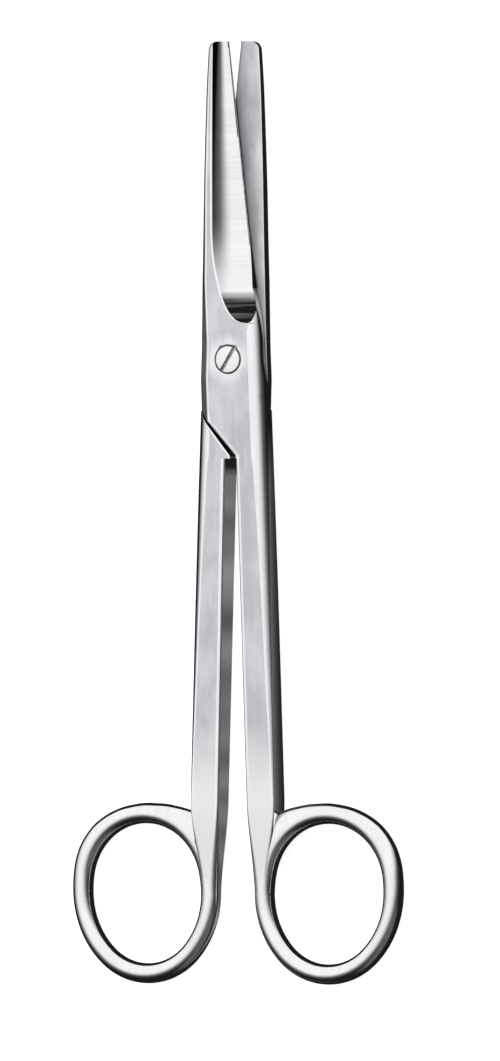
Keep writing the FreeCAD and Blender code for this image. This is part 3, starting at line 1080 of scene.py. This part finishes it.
def brighten_round_screw(material):
    """Let the satin flat brighten round the screw, where the countersunk edge throws light on it."""
    tree = material.node_tree
    flat = vector_maths(tree, "MULTIPLY", coordinates(tree), (1.0, 1.0, 0.0))
    distance = vector_maths(tree, "LENGTH", flat, result="Value")
    tint(material, spread(tree, distance, *HALO_REACH, HALO_LEVEL, 1.0, smooth=True), "halo")


def paint_deep_side_shade(material):
    """Paint shade into the steep side of the hollow grind, as dark as its tight curve looks in a mirror finish."""
    tree = material.node_tree
    turn = maths(tree, "ABSOLUTE", along(tree, "X", "Normal"))
    shade = spread(tree, turn, *DEEP_SHADE, smooth=True)
    deepest = spread(tree, turn, *DEEPEST_SHADE)
    share = spread(tree, along(tree, "Y"), *DEEP_FADE, DEEP_LEAST, smooth=True)
    tint(material, mixed(tree, share, 1.0, maths(tree, "MULTIPLY", shade, deepest), "FLOAT"), "painted deep shade")


def paint_inner_face_shadow(material):
    """Paint the other blade's shadow into the inner face of a blade: dark beside the other blade's edge at rest,
    brightening to a painted highlight towards its own spine, and light again where the other blade covers it at rest.
    """
    spin = Matrix.Rotation(math.radians(OPEN_ANGLE / 2), 3, "Z")
    heel = spin @ Vector((edge_x(0) + PIVOT_OFFSET, 0, 0)) * MM
    edge = spin @ Vector((-EDGE_SLOPE, 1, 0)).normalized()
    tree = material.node_tree
    offset = vector_maths(tree, "SUBTRACT", coordinates(tree), heel)
    beside = vector_maths(tree, "DOT_PRODUCT", offset, Vector((edge.y, -edge.x, 0)), result="Value")
    width = spread(tree, along(tree, "Y"), *INNER_PLACES, *INNER_WIDTHS)
    shade = spread(tree, maths(tree, "DIVIDE", beside, width), *INNER_SHADE)
    line = spread(tree, beside, *INNER_LINE)
    covered = spread(tree, beside, *INNER_COVERED)
    tint(material, maths(tree, "MAXIMUM", maths(tree, "MULTIPLY", shade, line), covered), "inner face")


def make_steels(shape):
    """The five steels, in the order of the mesh's material slots."""
    if "Satin Steel" in bpy.data.materials:
        return [bpy.data.materials[name] for name in STEELS]
    groups = grain_group(), cloud_group(), wear_group()
    polish = tuple(shape.polish_colour), shape.polish_roughness
    finishes = (
        (tuple(shape.satin_colour), shape.satin_roughness), polish,
        (tuple(shape.ground_colour), shape.ground_roughness), (tuple(shape.inner_colour), shape.satin_roughness),
        (tuple(shape.painted_shade_colour), SHADED_ROUGHNESS),
    )
    steels = [steel(name, groups, *finish) for name, finish in zip(STEELS, finishes)]
    satin = steels[SATIN]
    satin.node_tree.nodes["Principled BSDF"].inputs["Metallic"].default_value = shape.satin_metal
    brighten_round_screw(satin)
    brighten_towards_ring(satin, *polish)
    paint_runout_shade(steels[GROUND])
    paint_deep_side_shade(steels[GROUND])
    paint_inner_face_shadow(steels[INNER])
    return steels


def split_by_ray(tree, output, reflected, seen):
    """Show one shader to the camera and the other to the steel and all other rays."""
    camera_ray = tree.nodes.new("ShaderNodeLightPath").outputs["Is Camera Ray"]
    mix = add_node(tree, "ShaderNodeMixShader", {0: camera_ray, 1: reflected.outputs[0], 2: seen.outputs[0]})
    add_node(tree, output, {"Surface": mix.outputs[0]})


def make_world(stage):
    """Studio round the object: white to the camera, a broad soft light above and left, dim elsewhere."""
    world = bpy.data.worlds.new("Studio")
    bpy.context.scene.world = world
    world.use_nodes = True
    tree = world.node_tree
    tree.nodes.clear()
    way = coordinates(tree, "Generated")
    facing = vector_maths(tree, "DOT_PRODUCT", way, Vector(stage.light_direction).normalized(), result="Value")
    opposite = vector_maths(tree, "DOT_PRODUCT", way, FILL_DIRECTION, result="Value")
    half, soft = math.radians(stage.light_half_angle), math.radians(stage.light_softness)
    cap = spread(tree, facing, math.cos(half + soft), math.cos(half - soft), 0.0, 1.0 - stage.light_haze, smooth=True)
    haze = spread(tree, facing, *HAZE_FADE, stage.dim_level, stage.light_haze)
    fill = spread(tree, opposite, *FILL_FADE, 0.0, stage.fill_level, smooth=True)
    light = maths(tree, "ADD", maths(tree, "ADD", cap, haze), fill)
    studio = add_node(tree, "ShaderNodeBackground", {"Color": (*stage.light_colour, 1), "Strength": light})
    paper = add_node(tree, "ShaderNodeBackground", {"Color": WHITE, "Strength": 1.0})
    split_by_ray(tree, "ShaderNodeOutputWorld", studio, paper)


def painted_floor_reflection(tree, stage):
    """Brightness of the floor as the steel shows it: dim, with painted light in uneven bands under the shanks' gap
    and a painted strip of light beside the front shank."""
    across, length = along(tree, "X"), along(tree, "Y")
    near = spread(tree, maths(tree, "ABSOLUTE", across), *GAP_FADE, 1.0, 0.0)
    below = spread(tree, length, *GAP_START)
    bands = add_node(tree, "ShaderNodeTexNoise", {"W": length, "Scale": 90.0, "Detail": 1.0}, noise_dimensions="1D")
    levels = spread(tree, bands.outputs["Fac"], *GAP_BANDS)
    gap = maths(tree, "MULTIPLY", maths(tree, "MULTIPLY", near, below), levels)
    beside = maths(tree, "ADD", across, maths(tree, "MULTIPLY_ADD", length, WALL_SLOPE, -WALL_X * MM))
    strip = spread(tree, beside, *WALL_NEAR, 0.0, WALL_LIGHT)
    for source, zone, first, last in (
            (beside, WALL_NEAR, 0.0, 1.0), (beside, WALL_FAR, 1.0, 0.0), (length, WALL_START, 0.0, 1.0),
            (length, WALL_END, 0.0, 1.0)):
        strip = maths(tree, "MULTIPLY", strip, spread(tree, source, *zone, first, last))
    return maths(tree, "ADD", maths(tree, "ADD", gap, stage.dim_level), strip)


def make_floor(stage):
    """White floor under the object that keeps a faint shadow and looks dim in the steel, with painted light in its
    reflection.
    """
    mesh = bpy.data.meshes.new("floor")
    corners = ((-1, -1), (1, -1), (1, 1), (-1, 1))
    mesh.from_pydata([(x * FLOOR_HALF, y * FLOOR_HALF, -FLOOR_DROP) for x, y in corners], [], [(0, 1, 2, 3)])
    floor = new_object("floor", mesh)
    material = bpy.data.materials.new("Floor")
    material.use_nodes = True
    tree = material.node_tree
    tree.nodes.clear()
    matt = add_node(tree, "ShaderNodeBsdfDiffuse", {"Color": (*stage.floor_colour, 1)})
    glow = add_node(tree, "ShaderNodeEmission", {"Color": WHITE, "Strength": stage.floor_glow})
    lit = add_node(tree, "ShaderNodeAddShader", {0: matt.outputs[0], 1: glow.outputs[0]})
    dim = add_node(tree, "ShaderNodeEmission", {"Color": WHITE, "Strength": painted_floor_reflection(tree, stage)})
    split_by_ray(tree, "ShaderNodeOutputMaterial", dim, lit)
    mesh.materials.append(material)


def make_lamp(stage):
    """Broad soft lamp above and to the left, for the shadow."""
    light = bpy.data.lights.new("softbox", "AREA")
    light.shape = "DISK"
    light.size = stage.lamp_size
    light.energy = stage.lamp_power
    lamp = new_object("softbox", light)
    towards = Vector(stage.light_direction).normalized()
    lamp.location = towards * LAMP_DISTANCE
    lamp.rotation_euler = towards.to_track_quat("Z", "Y").to_euler()
    lamp.visible_glossy = False


def make_camera(stage):
    """Long lens that looks at the scissors from above, leaning to the right about their length."""
    data = bpy.data.cameras.new("camera")
    data.sensor_fit = "VERTICAL"
    data.sensor_height = SENSOR_HEIGHT
    data.lens = SENSOR_HEIGHT * CAMERA_DISTANCE / (VIEW_HEIGHT * MM)
    camera = new_object("camera", data)
    lean = math.radians(stage.camera_lean)
    away = Vector((math.sin(lean), 0, math.cos(lean)))
    camera.location = Vector(VIEW_AIM) * MM + away * CAMERA_DISTANCE
    up = Vector((0, 1, 0))
    turn = Matrix((up.cross(away), up, away)).transposed().to_4x4()
    camera.rotation_euler = (turn @ Matrix.Rotation(math.radians(VIEW_ROLL), 4, "Z")).to_euler()
    bpy.context.scene.camera = camera


class ScissorsShape(bpy.types.PropertyGroup):
    """Finish of the steel."""

    edge_break: FloatProperty(
        name="Broken Edge", description="Width of the broken edges, in millimetres", default=0.09, min=0.01, max=0.3)
    ring_sides: IntProperty(
        name="Wire Sides", description="Sides of the round wire of the finger rings", default=56, min=12, max=96)
    satin_colour: FloatVectorProperty(
        name="Satin Colour", description="Colour of the satin flats", default=(0.81, 0.80, 0.855), size=3,
        min=0, max=1, subtype="COLOR")
    satin_roughness: FloatProperty(
        name="Satin Roughness", description="Roughness of the satin flats", default=0.3, min=0, max=1,
        subtype="FACTOR")
    satin_metal: FloatProperty(
        name="Satin Metal", description="Share of mirror-like metal in the satin flats", default=0.75, min=0, max=1,
        subtype="FACTOR")
    polish_colour: FloatVectorProperty(
        name="Polish Colour", description="Colour of the polished sides and rings", default=(0.93, 0.93, 0.94),
        size=3, min=0, max=1, subtype="COLOR")
    polish_roughness: FloatProperty(
        name="Polish Roughness", description="Roughness of the polished sides and rings", default=0.13, min=0,
        max=1, subtype="FACTOR")
    inner_colour: FloatVectorProperty(
        name="Inner Colour", description="Colour of the inner faces of the blades", default=(0.80, 0.79, 0.84), size=3,
        min=0, max=1, subtype="COLOR")
    # Painted shade: near-black colour put where shade falls on the edge lands, gaps and recesses
    painted_shade_colour: FloatVectorProperty(
        name="Shaded Colour", description="Colour of the edge lands, gaps and recesses", default=(0.04, 0.04, 0.045),
        size=3, min=0, max=1, subtype="COLOR")
    ground_colour: FloatVectorProperty(
        name="Ground Colour", description="Colour of the hollow grind", default=(0.93, 0.93, 0.94), size=3,
        min=0, max=1, subtype="COLOR")
    ground_roughness: FloatProperty(
        name="Ground Roughness", description="Roughness of the hollow grind", default=0.16, min=0, max=1,
        subtype="FACTOR")


class ScissorsStage(bpy.types.PropertyGroup):
    """Camera, light and floor."""

    camera_lean: FloatProperty(
        name="Camera Lean", description="Lean of the view to the right, in degrees", default=27.5, min=-80, max=80)
    light_direction: FloatVectorProperty(
        name="Light Direction", description="Direction of the broad light's middle", default=(-0.17, 0.74, 0.65),
        size=3, subtype="DIRECTION")
    light_half_angle: FloatProperty(
        name="Light Width", description="Half the angle that the broad light covers, in degrees", default=63.0,
        min=5, max=120)
    light_softness: FloatProperty(
        name="Light Edge", description="Softness of the broad light's edge, in degrees", default=19.5, min=1, max=40)
    fill_level: FloatProperty(
        name="Fill Level", description="Strength of the weak light from the near side", default=0.1, min=0, max=1,
        subtype="FACTOR")
    light_haze: FloatProperty(
        name="Light Haze", description="Faint share of the light that fades far beyond its edge", default=0.16,
        min=0, max=1, subtype="FACTOR")
    light_colour: FloatVectorProperty(
        name="Light Colour", description="Colour of the broad light", default=(1.0, 1.0, 1.0), size=3, min=0,
        max=1, subtype="COLOR")
    dim_level: FloatProperty(
        name="Dim Level", description="Brightness of the studio away from the light", default=0.012, min=0, max=1)
    lamp_power: FloatProperty(
        name="Lamp Power", description="Power of the soft lamp", default=0.6, min=0, max=100, unit="POWER")
    lamp_size: FloatProperty(
        name="Lamp Size", description="Width of the soft lamp", default=0.8, min=0.01, max=5, unit="LENGTH")
    floor_colour: FloatVectorProperty(
        name="Floor Colour", description="Colour of the floor", default=(0.9, 0.9, 0.9), size=3, min=0, max=1,
        subtype="COLOR")
    floor_glow: FloatProperty(
        name="Floor White", description="Share of white that the camera sees in the floor's shade", default=0.85,
        min=0, max=1, subtype="FACTOR")


class SCISSORS_OT_halves(bpy.types.Operator):
    """Build both halves with their finger rings and finish"""

    bl_idname = "scissors.halves"
    bl_label = "Build Halves"

    def execute(self, context):
        shape = context.scene.scissors_shape
        steels = make_steels(shape)
        make_front(shape, steels)
        make_rear(shape, steels)
        return {"FINISHED"}


class SCISSORS_OT_screw(bpy.types.Operator):
    """Build the slotted pivot screw"""

    bl_idname = "scissors.screw"
    bl_label = "Build Screw"

    def execute(self, context):
        shape = context.scene.scissors_shape
        make_screw(shape, make_steels(shape))
        return {"FINISHED"}


class SCISSORS_OT_stage(bpy.types.Operator):
    """Set up the camera, the light and the floor"""

    bl_idname = "scissors.stage"
    bl_label = "Set Stage"

    def execute(self, context):
        stage = context.scene.scissors_stage
        make_world(stage)
        make_floor(stage)
        make_lamp(stage)
        make_camera(stage)
        context.scene.view_settings.view_transform = "Standard"
        return {"FINISHED"}


class SCISSORS_PT_panel(bpy.types.Panel):
    """Sizes, finish and stage of the scissors"""

    bl_idname = "SCISSORS_PT_panel"
    bl_label = "Dissecting Scissors"
    bl_space_type = "VIEW_3D"
    bl_region_type = "UI"
    bl_category = "Scissors"

    def draw(self, context):
        layout = self.layout
        for group in (context.scene.scissors_shape, context.scene.scissors_stage):
            column = layout.column()
            for name in type(group).__annotations__:
                column.prop(group, name)
        for operator in (SCISSORS_OT_halves, SCISSORS_OT_screw, SCISSORS_OT_stage):
            layout.operator(operator.bl_idname)


CLASSES = (
    ScissorsShape, ScissorsStage, SCISSORS_OT_halves, SCISSORS_OT_screw, SCISSORS_OT_stage, SCISSORS_PT_panel,
)


def register():
    for cls in CLASSES:
        bpy.utils.register_class(cls)
    bpy.types.Scene.scissors_shape = PointerProperty(type=ScissorsShape)
    bpy.types.Scene.scissors_stage = PointerProperty(type=ScissorsStage)


def unregister():
    del bpy.types.Scene.scissors_stage
    del bpy.types.Scene.scissors_shape
    for cls in reversed(CLASSES):
        bpy.utils.unregister_class(cls)


def main():
    register()
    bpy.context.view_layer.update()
    bpy.ops.scissors.halves()
    bpy.ops.scissors.screw()
    bpy.ops.scissors.stage()


if __name__ == "__main__":
    main()
